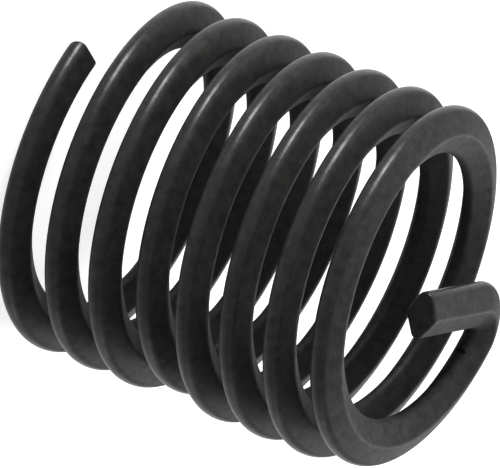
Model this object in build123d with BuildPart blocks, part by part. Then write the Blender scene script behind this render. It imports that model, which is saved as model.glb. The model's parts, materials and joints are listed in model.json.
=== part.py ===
from build123d import *
from math import atan, cos, degrees, radians, tan
import os

# Helical thread insert for an M10 x 1.5 screw, 1.5 diameters long, in its free
# state, before it is wound into the tapped hole.  It is one piece of rhombic wire:
# the outer crest screws into the tapped hole and the inner crest becomes the
# screw's new thread.  The coil's axis is Z and it rises as a right-hand helix.
# The plain, sheared end stands at z = 0 and the driving tang crosses the bore at
# the top, where the wire folds in from the +X side.
# Lengths are in millimetres and angles in degrees.

# Coil
outer_radius = 6.2  # over the outer crest
pitch = 1.656
turns = 7.57  # from the sheared end to the fold of the tang
lead_in = 0.4  # how far the last turn closes in, to start in the tapped hole

# Wire section: a rhombus with its two crests rolled flat
crest_depth = 1.6  # radial, from the inner crest to the outer
outer_crest = 0.2  # width of the flat on the outer crest
inner_crest = 0.26  # width of the flat on the inner crest
flank_angle = 60  # between the two flanks that meet at a crest

# Tang
fold_radius = 0.17  # inside of the fold
fold_turn = 113  # how far the wire turns in, past square to the coil
tang_length = 4.0  # straight run from the fold to the sheared tip

# Break-off notch, a vee across the inner crest just before the fold
notch_depth = 0.3
notch_angle = 80
notch_setback = 0.6  # along the inner crest, from the fold to the vee's bottom

# The screw stops this many turns below the fold, clear of the tang.
blocked_turns = 0.75

# The coil that takes the screw is drawn as equal arcs of wire.
arcs_per_turn = 8

# Wire section, worked out from its sizes
slope = tan(radians(flank_angle / 2))
half_width = (crest_depth * slope + (outer_crest + inner_crest) / 2) / 2
half_height = half_width / slope
outer_reach = half_height - outer_crest / 2 / slope
inner_reach = half_height - inner_crest / 2 / slope

# Coil, worked out from its sizes
inner_radius = outer_radius - crest_depth
wire_radius = outer_radius - outer_reach  # of the helix through the side corners
arc_count = int((turns - blocked_turns) * arcs_per_turn)
arc_turn = 1 / arcs_per_turn
open_turns = arc_count * arc_turn


def level(turn):
    """Horizontal plane through the wire at that turn, its x axis running out to the wire."""
    height = half_width + pitch * turn
    return Plane.XY.offset(height).rotated((0, 0, 360 * (turn - turns)))


def wire_path(first_turn, last_turn, closing=0):
    """Helix through the middle of the wire, which may close in as it rises."""
    rise = pitch * (last_turn - first_turn)
    cone = atan(closing / rise)
    helix = Helix(pitch / cos(cone), rise, wire_radius, cone_angle=-degrees(cone))
    return level(first_turn).location * helix


def wire_section(turn, crests_rolled):
    """The wire's section at that turn, with its crests left sharp or rolled flat."""
    here = level(turn)
    middle = here.from_local_coords((wire_radius, 0, 0))
    with BuildSketch(Plane(middle, here.x_dir, -here.y_dir)) as section:
        with BuildLine():
            Polyline(
                (half_height, 0),
                (0, half_width),
                (-half_height, 0),
                (0, -half_width),
                close=True,
            )
        make_face()
        if crests_rolled:
            with Locations(((outer_reach - inner_reach) / 2, 0)):
                Rectangle(crest_depth, 2 * half_width, mode=Mode.INTERSECT)
    return section.sketch


# One arc of wire, its crests rolled onto the cylinders that the screw and the
# tapped hole measure.  Each cylinder's seam is turned away from the arc.
arc_section = wire_section(0, crests_rolled=False)
arc_path = wire_path(0, arc_turn)
far_side = (0, 0, 180 - 360 * turns)
with BuildPart() as wire_arc:
    sweep(arc_section, arc_path, is_frenet=True)
    Cylinder(outer_radius, 4 * pitch, rotation=far_side, mode=Mode.INTERSECT)
    Cylinder(inner_radius, 4 * pitch, rotation=far_side, mode=Mode.SUBTRACT)

# The turns that take the screw: the arc repeated up the helix.  The arcs keep
# their own faces, so that no crest face winds far round the axis.
climb = [
    Location((0, 0, pitch * arc_turn * step), (0, 0, 360 * arc_turn * step))
    for step in range(arc_count)
]
with BuildPart() as open_coil:
    with Locations(*climb):
        add(wire_arc.part, clean=False)

# The rest of the last turn closes in on its way up to the fold.
last_section = wire_section(open_turns, crests_rolled=True)
last_path = wire_path(open_turns, turns, closing=lead_in)
with BuildPart() as last_turn:
    sweep(last_section, last_path, is_frenet=True)

# The tang: the wire folds in over its inner crest and runs straight across.
fold_face = last_turn.faces().filter_by(GeomType.PLANE).sort_by(Axis.X)[-1]
fold_centre = level(turns).from_local_coords((inner_radius - lead_in - fold_radius, 0, 0))
with BuildPart() as tang:
    revolve(fold_face, axis=Axis(fold_centre, (0, 0, 1)), revolution_arc=fold_turn)
    folded = tang.faces().filter_by(GeomType.PLANE).sort_by(Axis.X)[0]
    extrude(folded, amount=tang_length)

# The vee is drawn looking down the coil's axis.
notch_turn = turns - notch_setback / inner_radius / radians(360)
notch_bottom = inner_radius - lead_in + notch_depth
notch_mouth = notch_bottom - 2 * notch_depth
notch_half = 2 * notch_depth * tan(radians(notch_angle / 2))
with BuildPart() as notch:
    with BuildSketch(level(notch_turn)):
        with BuildLine():
            Polyline(
                (notch_bottom, 0),
                (notch_mouth, notch_half),
                (notch_mouth, -notch_half),
                close=True,
            )
        make_face()
    extrude(amount=half_width, both=True)

with BuildPart() as thread_insert:
    add(open_coil.part, clean=False)
    add([last_turn.part, tang.part], clean=False)
    add(notch.part, mode=Mode.SUBTRACT, clean=False)
thread_insert.part.label = "thread_insert"

print("free length", round(thread_insert.part.bounding_box().size.Z, 3))
os.makedirs("parts", exist_ok=True)
export_step(thread_insert.part, "parts/thread_insert.step")
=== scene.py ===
# %% [markdown]
# # A helical thread insert in Blender
#
# The real object is a coil of rhombic spring wire, about 12 mm across, that lines
# a tapped hole with a new screw thread.  It is wound from one length of stainless
# wire, sheared at both ends, and blackened with a dry-film coating that lets it
# slide into the hole.  At the top the wire folds in across the bore and makes the
# tang that a driving tool pushes round.
#
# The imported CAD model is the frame.  It fixes where the coil stands and how large
# it is.  This file takes the two radii from that model's record, and adds what the
# CAD leaves plain: the wire's rolled corners, its sheared ends and its finish.

# %% Load the frame
import json
import math

import bpy
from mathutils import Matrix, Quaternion, Vector


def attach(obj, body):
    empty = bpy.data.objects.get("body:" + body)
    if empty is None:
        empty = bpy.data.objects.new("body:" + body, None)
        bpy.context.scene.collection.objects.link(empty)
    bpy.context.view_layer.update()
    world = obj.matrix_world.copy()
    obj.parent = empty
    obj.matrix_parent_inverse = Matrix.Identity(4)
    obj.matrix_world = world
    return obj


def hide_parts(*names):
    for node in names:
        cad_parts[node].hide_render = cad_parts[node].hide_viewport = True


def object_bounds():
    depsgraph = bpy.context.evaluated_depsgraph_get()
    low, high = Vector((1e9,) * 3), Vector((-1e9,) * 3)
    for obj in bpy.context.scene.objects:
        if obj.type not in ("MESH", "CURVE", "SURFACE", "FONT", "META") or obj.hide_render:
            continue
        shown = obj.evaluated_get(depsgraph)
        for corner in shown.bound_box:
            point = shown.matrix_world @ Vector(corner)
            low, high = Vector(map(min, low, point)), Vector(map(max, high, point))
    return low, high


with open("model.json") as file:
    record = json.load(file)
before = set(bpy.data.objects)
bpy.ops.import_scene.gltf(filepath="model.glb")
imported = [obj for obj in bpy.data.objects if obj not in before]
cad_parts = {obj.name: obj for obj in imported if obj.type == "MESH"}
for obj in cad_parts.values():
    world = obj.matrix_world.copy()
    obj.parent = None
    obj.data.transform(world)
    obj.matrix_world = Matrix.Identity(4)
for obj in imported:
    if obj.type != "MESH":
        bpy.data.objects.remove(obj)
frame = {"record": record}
cad_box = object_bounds()
MM = 0.001
print("CAD box, mm:", [round(c / MM, 3) for corner in cad_box for c in corner])

# %% [markdown]
# ## Sizes of the coil
#
# Everything is in metres.  The hole's thread touches the coil's outer crest and the
# screw touches its inner one, so both radii come from the record's mounts.  The
# other sizes could be typed into the nodes that use them, but a size that has a
# name is changed in one place, and the whole wire follows.
#
# A free coil is never quite even.  One turn sits in towards the axis, and the first
# one lies a little low.  Each of these bumps has a centre and a reach along the
# wire, in turns, and a depth.

# %% The coil
mount_radius = {m["name"]: m["dims"]["r_mm"] * MM for m in frame["record"]["mounts"]}
outer_radius = mount_radius["hole_thread"]
inner_radius = mount_radius["screw_thread"]
pitch = 1.656 * MM
turns = 7.57

# The last turn closes in, so that the insert starts easily in its hole.
closing_turns = 0.82
lead_in = 0.4 * MM

pinch_turn, pinch_reach, pinch_depth = 3.36, 0.4, 0.36 * MM
low_turn, low_reach, low_depth = 0.25, 0.25, 0.14 * MM
print("coil:", turns, "turns, radii", round(inner_radius / MM, 3), "and", round(outer_radius / MM, 3), "mm")

# %% [markdown]
# ## Sizes of the wire
#
# A 60 degree thread needs 60 degrees at the crests inside and outside the coil.
# So the sharp section is a rhombus with two narrow flats, and its width follows
# from its depth.
#
# Rolling leaves the corners round.  A fillet would pull each crest back from the
# radius that it has to reach, so each corner first moves out by what its round
# takes off.  That draws its flanks together.  The inner crest keeps its 60 degrees,
# and the outer one, which is the roundest, ends at less, as the cell prints.

# %% The wire's section
flank_slope = math.tan(math.radians(60 / 2))
outer_crest_flat = 0.2 * MM
inner_crest_flat = 0.26 * MM
depth = outer_radius - inner_radius
half_width = (depth * flank_slope + (outer_crest_flat + inner_crest_flat) / 2) / 2
outer_reach = (half_width - outer_crest_flat / 2) / flank_slope
inner_reach = (half_width - inner_crest_flat / 2) / flank_slope
wire_radius = outer_radius - outer_reach

outer_round = 0.32 * MM
inner_round = 0.22 * MM
side_round = 0.16 * MM


def sharp_corner(reach, corner_round):
    """How far out a corner is before it is rounded, if its round ends at that reach."""
    centre = reach - corner_round
    to_centre = math.atan2(half_width, centre)
    past_round = math.asin(corner_round / math.hypot(half_width, centre))
    return half_width / math.tan(to_centre - past_round)


outer_corner = sharp_corner(outer_reach, outer_round)
inner_corner = sharp_corner(inner_reach, inner_round)
print("wire:", round(2 * half_width / MM, 3), "mm wide, helix radius", round(wire_radius / MM, 3), "mm")
for crest, corner in (("outer", outer_corner), ("inner", inner_corner)):
    print(crest, "flanks:", round(2 * math.degrees(math.atan(half_width / corner))), "degrees apart")

# %% [markdown]
# ## Sizes of the fold and the ends
#
# The wire is bent tightly across the bore to make the tang.  Once the insert is in
# its hole, the tang is knocked off with a punch.  It snaps at a small vee across
# the inner crest, just before the fold.
#
# The shears don't meet the wire quite square at the first end.  The two slopes say
# how far their cut runs along the wire for each millimetre outwards and upwards.

# %% The fold, the tang, the first end and the notch
fold_inner_radius = 0.17 * MM
fold_radius = fold_inner_radius + inner_reach
fold_angle = math.radians(113)
tang_length = 3.9 * MM

shear_out, shear_up = 0.157, -0.19

notch_depth = 0.12 * MM
notch_angle = math.radians(80)
notch_setback = 0.6 * MM
print("fold: radius", round(fold_radius / MM, 3), "mm, tang", round(tang_length / MM, 1), "mm long")

# %% [markdown]
# ## One small helper for node trees
#
# Both the coil and its finish are node trees.  This function adds any node, sets
# its properties, and gives each named or numbered input either a value or another
# node's output.

# %% Helper: add a node
def add_node(tree, kind, inputs=None, **settings):
    node = tree.nodes.new(kind)
    for name, value in settings.items():
        setattr(node, name, value)
    for key, value in (inputs or {}).items():
        if isinstance(value, bpy.types.NodeSocket):
            tree.links.new(value, node.inputs[key])
        else:
            node.inputs[key].default_value = value
    return node


# %% [markdown]
# ## The wire as a Geometry Nodes tree
#
# The insert is a single piece that follows a rule, so it suits Geometry Nodes: a
# section swept along a line.  It could also be a Screw modifier on a section, but
# that can't close in on its last turn or run on into the tang as one wire.
#
# The tree's inputs are the sizes above, with their own names, so the same tree
# winds any insert of this kind.  The steps say how finely each run is divided.

# %% Start the tree and name its inputs
tree = bpy.data.node_groups.new("wound_insert", "GeometryNodeTree")
sizes = {
    "Turns": turns,
    "Closing turns": closing_turns,
    "Pitch": pitch,
    "Wire radius": wire_radius,
    "Bore radius": inner_radius - lead_in,
    "Lead in": lead_in,
    "Pinch turn": pinch_turn,
    "Pinch reach": pinch_reach,
    "Pinch depth": pinch_depth,
    "Low turn": low_turn,
    "Low reach": low_reach,
    "Low depth": low_depth,
    "Half width": half_width,
    "Outer corner": outer_corner,
    "Inner corner": inner_corner,
    "Outer round": outer_round,
    "Inner round": inner_round,
    "Side round": side_round,
    "Fold radius": fold_radius,
    "Fold angle": fold_angle,
    "Tang length": tang_length,
    "Shear out": shear_out,
    "Shear up": shear_up,
    "Notch depth": notch_depth,
    "Notch angle": notch_angle,
    "Notch setback": notch_setback,
    "Steps per turn": 120.0,
    "Fold steps": 30.0,
    "Tang steps": 16.0,
}
socket_of = {}
for name, value in sizes.items():
    socket = tree.interface.new_socket(name, in_out="INPUT", socket_type="NodeSocketFloat")
    socket_of[name] = socket.identifier
finish_socket = tree.interface.new_socket("Finish", in_out="INPUT", socket_type="NodeSocketMaterial")
tree.interface.new_socket("Geometry", in_out="OUTPUT", socket_type="NodeSocketGeometry")
group_in = add_node(tree, "NodeGroupInput").outputs
group_out = add_node(tree, "NodeGroupOutput")
print("tree inputs:", len(socket_of) + 1)

# %% [markdown]
# ### How far along the wire each point is
#
# The wire's line is a row of points, numbered from the first end.  Three runs
# follow one another: the helix, the fold and the tang.  Each could be a curve of
# its own, joined to the next, but a join can leave a step in the sweep.  So one
# row makes all three.  A Map Range node that clamps turns a point's number into
# the progress along one run: it stays at the start before the run and at the end
# after it.

# %% Number the points and find their progress
helix_steps = add_node(
    tree,
    "ShaderNodeMath",
    {
        0: add_node(
            tree,
            "ShaderNodeMath",
            {0: group_in["Turns"], 1: group_in["Steps per turn"]},
            operation="MULTIPLY",
        ).outputs[0]
    },
    operation="ROUND",
).outputs[0]
fold_end = add_node(
    tree, "ShaderNodeMath", {0: helix_steps, 1: group_in["Fold steps"]}, operation="ADD"
).outputs[0]
tang_end = add_node(
    tree, "ShaderNodeMath", {0: fold_end, 1: group_in["Tang steps"]}, operation="ADD"
).outputs[0]
number = add_node(tree, "GeometryNodeInputIndex").outputs["Index"]
turn = add_node(
    tree, "ShaderNodeMapRange", {"Value": number, "From Max": helix_steps, "To Max": group_in["Turns"]}
).outputs["Result"]
fold_turned = add_node(
    tree,
    "ShaderNodeMapRange",
    {"Value": number, "From Min": helix_steps, "From Max": fold_end, "To Max": group_in["Fold angle"]},
).outputs["Result"]
tang_run = add_node(
    tree,
    "ShaderNodeMapRange",
    {"Value": number, "From Min": fold_end, "From Max": tang_end, "To Max": group_in["Tang length"]},
).outputs["Result"]
steps = [round(turns * sizes["Steps per turn"]), round(sizes["Fold steps"]), round(sizes["Tang steps"])]
print("steps of helix, fold and tang:", steps)

# %% [markdown]
# ### The unevenness of the coil
#
# Wire springs back a little differently from turn to turn, and a handled coil is
# squeezed here and there.  Noise could shake the whole coil, but these departures
# are two, and they have a place.  Each is a smooth bump, found from how many turns
# away its centre is: full depth at the centre, nothing beyond its reach.

# %% Bumps along the wire
departure = {}
for bump_name in ("Pinch", "Low"):
    off_centre = add_node(
        tree, "ShaderNodeMath", {0: turn, 1: group_in[bump_name + " turn"]}, operation="SUBTRACT"
    ).outputs[0]
    turns_away = add_node(tree, "ShaderNodeMath", {0: off_centre}, operation="ABSOLUTE").outputs[0]
    departure[bump_name] = add_node(
        tree,
        "ShaderNodeMapRange",
        {
            "Value": turns_away,
            "From Min": group_in[bump_name + " reach"],
            "From Max": 0.0,
            "To Max": group_in[bump_name + " depth"],
        },
        interpolation_type="SMOOTHSTEP",
    ).outputs["Result"]
print("bumps:", list(departure))

# %% [markdown]
# ### The helix
#
# One turn round the axis is one pitch up.  Blender has a Spiral node, but its
# radius changes evenly from end to end, and here only the last turn closes in.  So
# each point's radius, angle and height are worked out.  The angle is counted back
# from the fold, which is on the +X side.

# %% Radius and angle of each point
closing_start = add_node(
    tree, "ShaderNodeMath", {0: group_in["Turns"], 1: group_in["Closing turns"]}, operation="SUBTRACT"
).outputs[0]
closed_in = add_node(
    tree,
    "ShaderNodeMapRange",
    {
        "Value": turn,
        "From Min": closing_start,
        "From Max": group_in["Turns"],
        "To Max": group_in["Lead in"],
    },
).outputs["Result"]
drawn_in = add_node(
    tree, "ShaderNodeMath", {0: closed_in, 1: departure["Pinch"]}, operation="ADD"
).outputs[0]
radius = add_node(
    tree, "ShaderNodeMath", {0: group_in["Wire radius"], 1: drawn_in}, operation="SUBTRACT"
).outputs[0]
turns_left = add_node(
    tree, "ShaderNodeMath", {0: turn, 1: group_in["Turns"]}, operation="SUBTRACT"
).outputs[0]
angle = add_node(tree, "ShaderNodeMath", {0: turns_left, 1: math.tau}, operation="MULTIPLY").outputs[0]
print("radius closes in by", round(lead_in / MM, 1), "mm over the last", closing_turns, "turns")

# %% Height of each point, and its place on the helix
even_height = add_node(
    tree,
    "ShaderNodeMath",
    {0: turn, 1: group_in["Pitch"], 2: group_in["Half width"]},
    operation="MULTIPLY_ADD",
).outputs[0]
height = add_node(
    tree, "ShaderNodeMath", {0: even_height, 1: departure["Low"]}, operation="SUBTRACT"
).outputs[0]
radius_and_height = add_node(tree, "ShaderNodeCombineXYZ", {"X": radius, "Z": height}).outputs[0]
on_helix = add_node(
    tree, "ShaderNodeVectorRotate", {"Vector": radius_and_height, "Angle": angle}, rotation_type="Z_AXIS"
).outputs[0]
print("helix height:", round(turns * pitch / MM, 2), "mm between the wire's middles")

# %% [markdown]
# ### The fold and the tang
#
# The real wire is folded over a small pin.  The fold turns about a point inside
# the coil, and the tang runs straight on from it.  Both are one small arm, swung
# by the angle folded so far: it points from the fold's centre to the wire, with
# the tang's length at its side.  On the helix the arm is at rest and adds nothing.

# %% Add the fold and the tang to the helix
arm = add_node(tree, "ShaderNodeCombineXYZ", {"X": group_in["Fold radius"], "Y": tang_run}).outputs[0]
swung_arm = add_node(
    tree, "ShaderNodeVectorRotate", {"Vector": arm, "Angle": fold_turned}, rotation_type="Z_AXIS"
).outputs[0]
arm_at_rest = add_node(tree, "ShaderNodeCombineXYZ", {"X": group_in["Fold radius"]}).outputs[0]
fold_offset = add_node(
    tree, "ShaderNodeVectorMath", {0: swung_arm, 1: arm_at_rest}, operation="SUBTRACT"
).outputs[0]
place = add_node(tree, "ShaderNodeVectorMath", {0: on_helix, 1: fold_offset}, operation="ADD").outputs[0]
point_count = add_node(tree, "ShaderNodeMath", {0: tang_end, 1: 1.0}, operation="ADD").outputs[0]
row = add_node(tree, "GeometryNodeMeshLine", {"Count": point_count}).outputs["Mesh"]
placed = add_node(tree, "GeometryNodeSetPosition", {"Geometry": row, "Position": place}).outputs[0]
line = add_node(tree, "GeometryNodeMeshToCurve", {"Mesh": placed}).outputs[0]
print("nodes for the line:", len(tree.nodes))

# %% [markdown]
# ### The section
#
# Rhombic wire is rolled from round wire, so its four corners stay rounded.  A
# Bevel modifier could round a swept rhombus, but with one radius for every edge.
# So the section is a quadrilateral whose corners are filleted before the sweep:
# most on the outer crest, less on the inner one, least at the sides.  Spacing its
# points evenly keeps the faces of the sweep alike.

# %% Section of the wire
section_points = 72
round_steps = 8
corner = {
    key: add_node(tree, "ShaderNodeMath", {0: group_in[size], 1: sign}, operation="MULTIPLY").outputs[0]
    for key, size, sign in (
        ("outer", "Outer corner", 1.0),
        ("upper", "Half width", 1.0),
        ("inner", "Inner corner", -1.0),
        ("lower", "Half width", -1.0),
    )
}
section = add_node(
    tree,
    "GeometryNodeCurvePrimitiveQuadrilateral",
    {
        "Point 1": add_node(tree, "ShaderNodeCombineXYZ", {"X": corner["outer"]}).outputs[0],
        "Point 2": add_node(tree, "ShaderNodeCombineXYZ", {"Y": corner["upper"]}).outputs[0],
        "Point 3": add_node(tree, "ShaderNodeCombineXYZ", {"X": corner["inner"]}).outputs[0],
        "Point 4": add_node(tree, "ShaderNodeCombineXYZ", {"Y": corner["lower"]}).outputs[0],
    },
    mode="POINTS",
).outputs[0]
corner_rounds = ("Outer round", "Side round", "Inner round", "Side round")
corner_round = add_node(tree, "GeometryNodeIndexSwitch", data_type="FLOAT")
while len(corner_round.index_switch_items) < len(corner_rounds):
    corner_round.index_switch_items.new()
tree.links.new(number, corner_round.inputs["Index"])
for item, size in enumerate(corner_rounds):
    tree.links.new(group_in[size], corner_round.inputs[item + 1])
rounded = add_node(
    tree,
    "GeometryNodeFilletCurve",
    {"Curve": section, "Count": round_steps, "Radius": corner_round.outputs[0]},
    mode="POLY",
).outputs[0]
even_section = add_node(
    tree, "GeometryNodeResampleCurve", {"Curve": rounded, "Count": section_points}
).outputs[0]
print("section:", section_points, "points, rounds", [round(sizes[size] / MM, 2) for size in corner_rounds])

# %% [markdown]
# ### The wire's own coordinates
#
# The drawing marks on real wire run along it.  A pattern in plain object space
# would cut straight through the coil instead.  So before the sweep each point of
# the line keeps how far along the wire it is, and each point of the section keeps
# its place across the wire.

# %% Keep the place along the line and across the section
section_place = add_node(tree, "GeometryNodeCaptureAttribute", {"Geometry": even_section}, domain="POINT")
section_place.capture_items.new("VECTOR", "Place")
tree.links.new(add_node(tree, "GeometryNodeInputPosition").outputs[0], section_place.inputs["Place"])
across = add_node(tree, "ShaderNodeSeparateXYZ", {0: section_place.outputs["Place"]}).outputs
line_length = add_node(tree, "GeometryNodeCaptureAttribute", {"Geometry": line}, domain="POINT")
line_length.capture_items.new("FLOAT", "Length")
tree.links.new(
    add_node(tree, "GeometryNodeSplineParameter").outputs["Length"], line_length.inputs["Length"]
)
print("kept:", [node.capture_items[0].name for node in (section_place, line_length)])

# %% [markdown]
# ### The sweep
#
# Curve to Mesh draws the section along the line.  By default it turns the section
# as little as it can, which would let a rhombus slowly roll round the wire.  Z-up
# normals keep it upright: its X axis points away from the coil's axis all the way
# round, and outwards on the tang.  The kept places are then stored together as one
# attribute for the finish: along the wire, outwards, and upwards.

# %% Sweep the section along the line
upright = add_node(
    tree, "GeometryNodeSetCurveNormal", {"Curve": line_length.outputs[0]}, mode="Z_UP"
).outputs[0]
swept = add_node(
    tree,
    "GeometryNodeCurveToMesh",
    {"Curve": upright, "Profile Curve": section_place.outputs[0], "Fill Caps": True},
).outputs[0]
along_and_across = add_node(
    tree, "ShaderNodeCombineXYZ", {"X": line_length.outputs["Length"], "Y": across["X"], "Z": across["Y"]}
).outputs[0]
marked = add_node(
    tree,
    "GeometryNodeStoreNamedAttribute",
    {"Geometry": swept, "Name": "wire_place", "Value": along_and_across},
    data_type="FLOAT_VECTOR",
    domain="POINT",
).outputs[0]
print("nodes for the sweep:", len(tree.nodes))

# %% [markdown]
# ### The first end
#
# The coil is sheared from a long wire, a little off square.  A boolean could cut
# it off at a slant, but sliding the end's own points along the wire is simpler and
# leaves the rest of the mesh alone.  The slide grows in proportion to how far out
# and up a point is, which keeps the end face flat.

# %% Slide the first end's points
# Only the first ring of points is less than this far along the wire.
first_ring = 0.01 * MM
slide_out = add_node(
    tree, "ShaderNodeMath", {0: across["X"], 1: group_in["Shear out"]}, operation="MULTIPLY"
).outputs[0]
slide = add_node(
    tree,
    "ShaderNodeMath",
    {0: across["Y"], 1: group_in["Shear up"], 2: slide_out},
    operation="MULTIPLY_ADD",
).outputs[0]
slide_back = add_node(tree, "ShaderNodeMath", {0: slide, 1: -1.0}, operation="MULTIPLY").outputs[0]
start_angle = add_node(
    tree, "ShaderNodeMath", {0: group_in["Turns"], 1: -math.tau}, operation="MULTIPLY"
).outputs[0]
slid = add_node(
    tree,
    "ShaderNodeVectorRotate",
    {
        "Vector": add_node(tree, "ShaderNodeCombineXYZ", {"Y": slide_back}).outputs[0],
        "Angle": start_angle,
    },
    rotation_type="Z_AXIS",
).outputs[0]
at_start = add_node(
    tree,
    "FunctionNodeCompare",
    {0: line_length.outputs["Length"], 1: first_ring},
    data_type="FLOAT",
    operation="LESS_THAN",
).outputs[0]
sheared = add_node(
    tree, "GeometryNodeSetPosition", {"Geometry": marked, "Selection": at_start, "Offset": slid}
).outputs[0]
print("first end: outer crest", round(shear_out * outer_reach / MM, 2), "mm longer, upper side",
      round(-shear_up * half_width / MM, 2), "mm shorter")

# %% [markdown]
# ### Smooth sides and flat ends
#
# The wire's sides are curved and its sheared ends are flat.  Smooth shading by
# angle could tell them apart, but the number of sides is surer: every face of the
# sweep has four, and an end face has as many as the section has points.

# %% Shade the sides smooth and the ends flat
face_sides = add_node(tree, "GeometryNodeInputMeshFaceNeighbors").outputs["Vertex Count"]
is_side = add_node(
    tree, "FunctionNodeCompare", {2: face_sides, 3: 4}, data_type="INT", operation="LESS_EQUAL"
).outputs[0]
shaded = add_node(
    tree, "GeometryNodeSetShadeSmooth", {"Geometry": sheared, "Shade Smooth": is_side}
).outputs[0]
print("nodes up to the shading:", len(tree.nodes))

# %% [markdown]
# ### The punch that cuts the notch
#
# The notch is a vee pressed across the inner crest.  It could be modelled into the
# section of the sweep, but its slopes don't follow the wire.  So it is cut away
# with a boolean, by a punch of its shape.  A cylinder with three sides is a prism
# with 60 degree corners, and widening it gives it the notch's angle.  The prism's
# size is such that it stands out into the bore as far as it cuts into the wire.

# %% Make the punch
prism_radius = add_node(
    tree, "ShaderNodeMath", {0: group_in["Notch depth"], 1: 4 / 3}, operation="MULTIPLY"
).outputs[0]
prism = add_node(
    tree,
    "GeometryNodeMeshCylinder",
    {"Vertices": 3, "Radius": prism_radius, "Depth": group_in["Pitch"]},
).outputs["Mesh"]
half_notch = add_node(
    tree, "ShaderNodeMath", {0: group_in["Notch angle"], 1: 0.5}, operation="MULTIPLY"
).outputs[0]
# Each side of a 60 degree corner runs out by 1 / sqrt(3) for each unit of depth.
notch_slope = add_node(tree, "ShaderNodeMath", {0: half_notch}, operation="TANGENT").outputs[0]
widening = add_node(
    tree, "ShaderNodeMath", {0: notch_slope, 1: math.sqrt(3)}, operation="MULTIPLY"
).outputs[0]
tip_behind = add_node(
    tree, "ShaderNodeMath", {0: prism_radius, 1: group_in["Notch depth"]}, operation="SUBTRACT"
).outputs[0]
prism_reach = add_node(
    tree, "ShaderNodeMath", {0: group_in["Bore radius"], 1: tip_behind}, operation="SUBTRACT"
).outputs[0]
widened = add_node(
    tree,
    "GeometryNodeTransform",
    {
        "Geometry": prism,
        "Translation": add_node(tree, "ShaderNodeCombineXYZ", {"X": prism_reach}).outputs[0],
        "Scale": add_node(tree, "ShaderNodeCombineXYZ", {"X": 1.0, "Y": widening, "Z": 1.0}).outputs[0],
    },
).outputs[0]
print("punch:", round(notch_depth / MM, 2), "mm deep,", round(math.degrees(notch_angle)), "degrees")

# %% [markdown]
# The punch is made at the fold's angle, level with the floor.  It goes up to the
# last turn, and back along it by the setback.  Both meshes get the finish before
# the cut, because a boolean gives an empty slot to a mesh that has no material.

# %% Cut the notch
setback_angle = add_node(
    tree, "ShaderNodeMath", {0: group_in["Notch setback"], 1: group_in["Bore radius"]}, operation="DIVIDE"
).outputs[0]
turned_back = add_node(
    tree, "ShaderNodeMath", {0: setback_angle, 1: -1.0}, operation="MULTIPLY"
).outputs[0]
top_height = add_node(
    tree,
    "ShaderNodeMath",
    {0: group_in["Turns"], 1: group_in["Pitch"], 2: group_in["Half width"]},
    operation="MULTIPLY_ADD",
).outputs[0]
punch = add_node(
    tree,
    "GeometryNodeTransform",
    {
        "Geometry": widened,
        "Translation": add_node(tree, "ShaderNodeCombineXYZ", {"Z": top_height}).outputs[0],
        "Rotation": add_node(tree, "ShaderNodeCombineXYZ", {"Z": turned_back}).outputs[0],
    },
).outputs[0]
flat_punch = add_node(
    tree, "GeometryNodeSetShadeSmooth", {"Geometry": punch, "Shade Smooth": False}
).outputs[0]
coated_wire, coated_punch = (
    add_node(tree, "GeometryNodeSetMaterial", {"Geometry": mesh, "Material": group_in["Finish"]}).outputs[0]
    for mesh in (shaded, flat_punch)
)
notched = add_node(
    tree,
    "GeometryNodeMeshBoolean",
    {"Mesh 1": coated_wire, "Mesh 2": coated_punch},
    operation="DIFFERENCE",
    solver="EXACT",
).outputs["Mesh"]
print("notch:", round(notch_setback / MM, 1), "mm before the fold")

# %% [markdown]
# ### Mark the sheared edges
#
# The coating builds up over the edges of the sheared ends and rounds them.  A
# Bevel modifier will do that, and here the tree only marks those edges for it.  A
# field of faces read on an edge is the average of the two faces beside it, so an
# edge whose average is over half the section's points is one round an end.

# %% Mark the edges, realize and give the finish
is_end_edge = add_node(
    tree,
    "FunctionNodeCompare",
    {2: face_sides, 3: section_points // 2},
    data_type="INT",
    operation="GREATER_THAN",
).outputs[0]
edges_marked = add_node(
    tree,
    "GeometryNodeStoreNamedAttribute",
    {"Geometry": notched, "Name": "bevel_weight_edge", "Value": is_end_edge},
    data_type="FLOAT",
    domain="EDGE",
).outputs[0]
realized = add_node(tree, "GeometryNodeRealizeInstances", {"Geometry": edges_marked}).outputs[0]
finished = add_node(
    tree, "GeometryNodeSetMaterial", {"Geometry": realized, "Material": group_in["Finish"]}
).outputs[0]
tree.links.new(finished, group_out.inputs["Geometry"])
print("tree nodes:", len(tree.nodes))

# %% [markdown]
# ## The finish
#
# The wire is stainless spring steel with a dry-film lubricant: a black resin full
# of fine solid lubricant, sprayed on and baked.  It looks like satin charcoal
# rather than paint, a little mottled.  The light runs along the crests in short
# bright lines, because the film is rubbed smooth there.
#
# One dark grey and one roughness would look like plastic.  So the colour, the
# sheen and the relief each get a pattern, sized from the real coating.


# %% Helper: a colour as it is seen, turned to linear light
def colour(hex_value):
    channels = [int(hex_value[i : i + 2], 16) / 255 for i in (1, 3, 5)]
    linear = [c / 12.92 if c <= 0.04045 else ((c + 0.055) / 1.055) ** 2.4 for c in channels]
    return (*linear, 1.0)


# %% Dry-film coating: its colour
film = bpy.data.materials.new("satin_black_dry_film_coating")
film.use_nodes = True
film_nodes = film.node_tree
film_shader = film_nodes.nodes["Principled BSDF"]
object_place = add_node(film_nodes, "ShaderNodeTexCoord").outputs["Object"]

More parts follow.
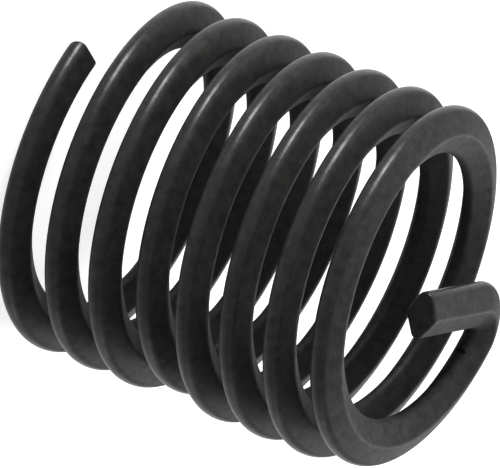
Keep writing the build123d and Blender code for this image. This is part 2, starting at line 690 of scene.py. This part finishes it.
# Cloudy mottling from the spraying, about 0.4 mm across.
mottle_size = 0.4 * MM
mottle = add_node(
    film_nodes, "ShaderNodeTexNoise", {"Vector": object_place, "Scale": 1 / mottle_size, "Detail": 3.0}
).outputs["Fac"]
tone = add_node(film_nodes, "ShaderNodeValToRGB", {"Fac": mottle})
darker, lighter = tone.color_ramp.elements
darker.position, darker.color = 0.35, colour("#0d0e11")
lighter.position, lighter.color = 0.65, colour("#191917")
print("mottling:", round(mottle_size / MM, 2), "mm")

# %% Dry-film coating: its grains
# Grains of lubricant are a few micrometres, drawn at 0.09 mm so that they show.
# They make the colour up to a third darker, or up to two fifths lighter.
grain_size = 0.09 * MM
grain = add_node(
    film_nodes, "ShaderNodeTexNoise", {"Vector": object_place, "Scale": 1 / grain_size, "Detail": 2.0}
).outputs["Fac"]
speckle = add_node(
    film_nodes,
    "ShaderNodeMapRange",
    {"Value": grain, "From Min": 0.3, "From Max": 0.7, "To Min": 0.65, "To Max": 1.4},
).outputs["Result"]
speckled = add_node(
    film_nodes, "ShaderNodeVectorMath", {0: tone.outputs["Color"], "Scale": speckle}, operation="SCALE"
).outputs[0]
print("grains:", round(grain_size / MM, 2), "mm")

# %% [markdown]
# ### Rubbed crests
#
# The outer crest is handled, packed and rubbed more than the flanks.  The film is
# polished and thinned there, so it is smoother, and the steel under it only just
# begins to show: a trace of grey and of metal.  A painted mask would do for one
# coil, but here the rule is known, so the mask is read from the wire's own
# coordinates: how far out across the section a point is.

# %% Where the crest is rubbed
wire_place = add_node(film_nodes, "ShaderNodeAttribute", attribute_name="wire_place").outputs["Vector"]
outward = add_node(film_nodes, "ShaderNodeSeparateXYZ", {0: wire_place}).outputs["Y"]
# How far below the crest the rubbing starts and where it is full.
rub_starts = 0.45 * outer_round
rub_is_full = 0.1 * outer_round
rubbed = add_node(
    film_nodes,
    "ShaderNodeMapRange",
    {
        "Value": outward,
        "From Min": outer_reach - rub_starts,
        "From Max": outer_reach - rub_is_full,
    },
    interpolation_type="SMOOTHSTEP",
).outputs["Result"]
print("rubbed from", round(rub_starts / MM, 3), "mm below the crest")

# %% A trace of grey and of metal
grey_share, metal_share = 0.05, 0.15
thinned = add_node(
    film_nodes, "ShaderNodeMath", {0: rubbed, 1: grey_share}, operation="MULTIPLY"
).outputs[0]
base = add_node(film_nodes, "ShaderNodeMix", {"Factor": thinned}, data_type="RGBA")
film_nodes.links.new(speckled, base.inputs["A"])
base.inputs["B"].default_value = colour("#55555a")
film_nodes.links.new(base.outputs["Result"], film_shader.inputs["Base Color"])
metal = add_node(
    film_nodes, "ShaderNodeMath", {0: rubbed, 1: metal_share}, operation="MULTIPLY"
).outputs[0]
film_nodes.links.new(metal, film_shader.inputs["Metallic"])
print("at the crest: grey", grey_share, "and metal", metal_share)

# %% [markdown]
# ### Sheen
#
# A baked resin reflects like most plastics, so the node keeps its IOR of 1.5.  The
# grains of lubricant stand in the resin and trap light.  So the film is rough, and
# it reflects less than half as much as a smooth resin, whose specular level would
# be 0.5.  It reflects least in the patches that are rich in grains.

# %% Roughness and specular level
film_roughness, rubbed_roughness = 0.62, 0.34
roughness = add_node(
    film_nodes,
    "ShaderNodeMapRange",
    {"Value": rubbed, "To Min": film_roughness, "To Max": rubbed_roughness},
).outputs["Result"]
film_nodes.links.new(roughness, film_shader.inputs["Roughness"])

patch_size = 0.3 * MM
patches = add_node(
    film_nodes, "ShaderNodeTexNoise", {"Vector": object_place, "Scale": 1 / patch_size, "Detail": 2.0}
).outputs["Fac"]
sheen = add_node(
    film_nodes,
    "ShaderNodeMapRange",
    {"Value": patches, "From Min": 0.35, "From Max": 0.65, "To Min": 0.15, "To Max": 0.23},
).outputs["Result"]
film_nodes.links.new(sheen, film_shader.inputs["Specular IOR Level"])
print("roughness", film_roughness, "to", rubbed_roughness, "in patches of", round(patch_size / MM, 2), "mm")

# %% [markdown]
# ### Relief
#
# Two things stand up from the surface: the grains in the film, and under it the
# fine lines that the rolls and dies left along the wire.  Both are far too small
# to model as geometry, so a Bump node tilts the light for them.  The lines are a
# noise stretched along the wire's own coordinates, so that they follow the coil.

# %% Grain and drawing lines
line_run, line_spacing = 2.5 * MM, 0.05 * MM
relief_height = 0.01 * MM
stretched = add_node(
    film_nodes,
    "ShaderNodeMapping",
    {"Vector": wire_place, "Scale": (1 / line_run, 1 / line_spacing, 1 / line_spacing)},
).outputs[0]
drawn = add_node(
    film_nodes, "ShaderNodeTexNoise", {"Vector": stretched, "Scale": 1.0, "Detail": 2.0}
).outputs["Fac"]
relief = add_node(film_nodes, "ShaderNodeMath", {0: grain, 1: drawn}, operation="ADD").outputs[0]
bump = add_node(
    film_nodes, "ShaderNodeBump", {"Height": relief, "Strength": 0.4, "Distance": relief_height}
).outputs[0]
film_nodes.links.new(bump, film_shader.inputs["Normal"])
print("finish:", film.name, len(film_nodes.nodes), "nodes")

# %% [markdown]
# ## Make the insert
#
# The tree runs as a modifier on an empty mesh.  Its inputs are set by the sockets'
# identifiers before it is first evaluated.  The result is copied to a plain mesh,
# so what stays in the scene is the wire itself, in its place in the frame.

# %% Run the tree and keep its mesh
seed_object = bpy.data.objects.new("wire_seed", bpy.data.meshes.new("wire_seed"))
bpy.context.scene.collection.objects.link(seed_object)
modifier = seed_object.modifiers.new("wound_insert", "NODES")
modifier.node_group = tree
for name, value in sizes.items():
    modifier[socket_of[name]] = value
modifier[finish_socket.identifier] = film
evaluated = seed_object.evaluated_get(bpy.context.evaluated_depsgraph_get())
wire_mesh = bpy.data.meshes.new_from_object(evaluated)
wire_mesh.name = "insert_wire"
seed_object.modifiers.clear()
bpy.data.objects.remove(seed_object)
wire = bpy.data.objects.new("insert_wire", wire_mesh)
bpy.context.scene.collection.objects.link(wire)
print("wire:", len(wire_mesh.vertices), "points,", len(wire_mesh.polygons), "faces")
print("finish:", [material.name for material in wire_mesh.materials])

# %% [markdown]
# ### Rounded ends
#
# The Bevel modifier rounds the edges that the tree marked, and no others.  An angle
# limit would also catch the notch, whose tiny faces have no room for a bevel.

# %% Soften the sheared edges
softened = wire.modifiers.new("softened_edges", "BEVEL")
softened.width = 0.09 * MM
softened.segments = 3
softened.limit_method = "WEIGHT"
marks = wire_mesh.attributes["bevel_weight_edge"].data
print("edges to soften:", sum(mark.value > 0.5 for mark in marks))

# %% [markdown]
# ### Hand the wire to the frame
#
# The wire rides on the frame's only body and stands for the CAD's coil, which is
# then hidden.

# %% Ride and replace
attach(wire, "root")
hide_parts("thread_insert")
print(wire.name, "stands for thread_insert")

# %% [markdown]
# ## Floor and backdrop
#
# A plain pale floor under the insert.  A long lens looks down on it, so the floor
# fills the whole background.  More light could make it white, but would wash out
# the insert as well.  So the floor glows only towards the camera and in
# reflections: it reads as white, keeps the insert's shadow, and adds no light to
# the insert's own colour.


# %% Helper: the rays that see a surface for itself
def seen_directly(nodes):
    """1 on camera, glossy and transmission rays, and 0 on the rays that light other surfaces."""
    rays = add_node(nodes, "ShaderNodeLightPath").outputs
    seen = rays["Is Camera Ray"]
    for kind in ("Is Glossy Ray", "Is Transmission Ray"):
        seen = add_node(nodes, "ShaderNodeMath", {0: seen, 1: rays[kind]}, operation="MAXIMUM").outputs[0]
    return seen


# %% Floor
floor_reach = 1.5
floor_height = cad_box[0].z
floor_mesh = bpy.data.meshes.new("floor")
floor_corners = ((-1, -1), (1, -1), (1, 1), (-1, 1))
floor_mesh.from_pydata(
    [(x * floor_reach, y * floor_reach, floor_height) for x, y in floor_corners], [], [(0, 1, 2, 3)]
)
floor = bpy.data.objects.new("floor", floor_mesh)
bpy.context.scene.collection.objects.link(floor)
print("floor at height", round(abs(floor_height) / MM, 3), "mm")

# %% Matt white paper
floor_glow = 0.75
paper = bpy.data.materials.new("matt_white_paper")
paper.use_nodes = True
paper_nodes = paper.node_tree
paper_shader = paper_nodes.nodes["Principled BSDF"]
paper_shader.inputs["Base Color"].default_value = colour("#cccccc")
paper_shader.inputs["Roughness"].default_value = 0.9
glow = add_node(
    paper_nodes, "ShaderNodeMath", {0: seen_directly(paper_nodes), 1: floor_glow}, operation="MULTIPLY"
).outputs[0]
paper_shader.inputs["Emission Color"].default_value = colour("#ffffff")
paper_nodes.links.new(glow, paper_shader.inputs["Emission Strength"])
floor_mesh.materials.append(paper)
print("paper glows at", floor_glow)

# %% [markdown]
# ### World
#
# The studio round the insert is white where it is seen or reflected.  As a light it
# is much weaker, so that the soft boxes give the insert its shape.

# %% World
world_light = 0.18
world = bpy.data.worlds.new("pale_studio")
world.use_nodes = True
bpy.context.scene.world = world
world_nodes = world.node_tree
level = add_node(
    world_nodes,
    "ShaderNodeMapRange",
    {"Value": seen_directly(world_nodes), "To Min": world_light, "To Max": 1.0},
).outputs["Result"]
sky = world_nodes.nodes["Background"]
sky.inputs["Color"].default_value = colour("#ffffff")
world_nodes.links.new(level, sky.inputs["Strength"])
print("world: seen at 1.0, lights at", world_light)

# %% [markdown]
# ## Lamps
#
# Four soft boxes at a plain level.  In the rolled frame +Y is up.  The ring's box
# stands on the far side and lights the upper flank of the last turn.  The top one
# lights the turns at the top of the frame, and the strip those at its bottom.  The
# crests' box stands up and towards the viewer, and draws the line of light along
# them.  A single large lamp would leave the flanks alike and the crests dull.
#
# Each is placed by its azimuth and elevation round the insert's middle, in degrees,
# and has a width and a height in metres.


# %% Helper: a direction from its azimuth and elevation
def direction(azimuth, elevation):
    a, e = math.radians(azimuth), math.radians(elevation)
    return Vector((math.sin(a) * math.cos(e), -math.cos(a) * math.cos(e), math.sin(e)))


# %% Soft boxes
middle = (cad_box[0] + cad_box[1]) / 2
lamp_distance = 0.3
for name, azimuth, elevation, width, height, watts in (
    ("ring_softbox", 90, 30, 0.12, 0.12, 0.43),
    ("top_softbox", 155, 52, 0.12, 0.12, 0.3),
    ("side_strip", 30, 10, 0.06, 0.2, 0.1),
    ("crest_softbox", -143, 6, 0.07, 0.12, 2.2),
):
    lamp = bpy.data.lights.new(name, "AREA")
    lamp.shape = "RECTANGLE"
    lamp.size, lamp.size_y = width, height
    lamp.energy = watts
    holder = bpy.data.objects.new(name, lamp)
    bpy.context.scene.collection.objects.link(holder)
    towards = direction(azimuth, elevation)
    holder.location = middle + towards * lamp_distance
    holder.rotation_mode = "QUATERNION"
    holder.rotation_quaternion = (-towards).to_track_quat("-Z", "Y")
    print(name, "at", [round(c, 3) for c in holder.location])

# %% [markdown]
# ## Camera
#
# A long lens from well back, looking down on the coil from the side where the
# tang shows, so that the turns look alike from end to end.  The insert stands on
# its first end, and the camera is rolled so that the coil lies across the frame
# with its top towards the lower right.

# %% Where the camera stands
# The frame's width is measured where the insert is.  The aim is a little left of
# the coil's middle and below it.
frame_width = 16.1655 * MM
camera_distance = 0.588
camera_azimuth, camera_elevation, camera_roll = -81.43, 24.26, 111.71
aim_right, aim_up = -0.436 * MM, -0.075 * MM
back = direction(camera_azimuth, camera_elevation)
upright_view = (-back).to_track_quat("-Z", "Y")
rolled_view = upright_view @ Quaternion((0, 0, 1), math.radians(camera_roll))
right = rolled_view @ Vector((1, 0, 0))
up = rolled_view @ Vector((0, 1, 0))
coil_middle = Vector((0, 0, half_width + pitch * turns / 2))
aim = coil_middle + right * aim_right + up * aim_up
print("camera aims at, mm:", [round(c / MM, 2) for c in aim])

# %% Camera
camera_data = bpy.data.cameras.new("long_lens")
camera_data.sensor_width = 36
camera_data.lens = camera_data.sensor_width * camera_distance / frame_width
camera_data.clip_start, camera_data.clip_end = 0.01, 10
camera = bpy.data.objects.new("camera", camera_data)
bpy.context.scene.collection.objects.link(camera)
camera.rotation_mode = "QUATERNION"
camera.rotation_quaternion = rolled_view
camera.location = aim + back * camera_distance
bpy.context.scene.camera = camera
bpy.context.scene.view_settings.view_transform = "Standard"
print("lens", round(camera_data.lens), "mm")
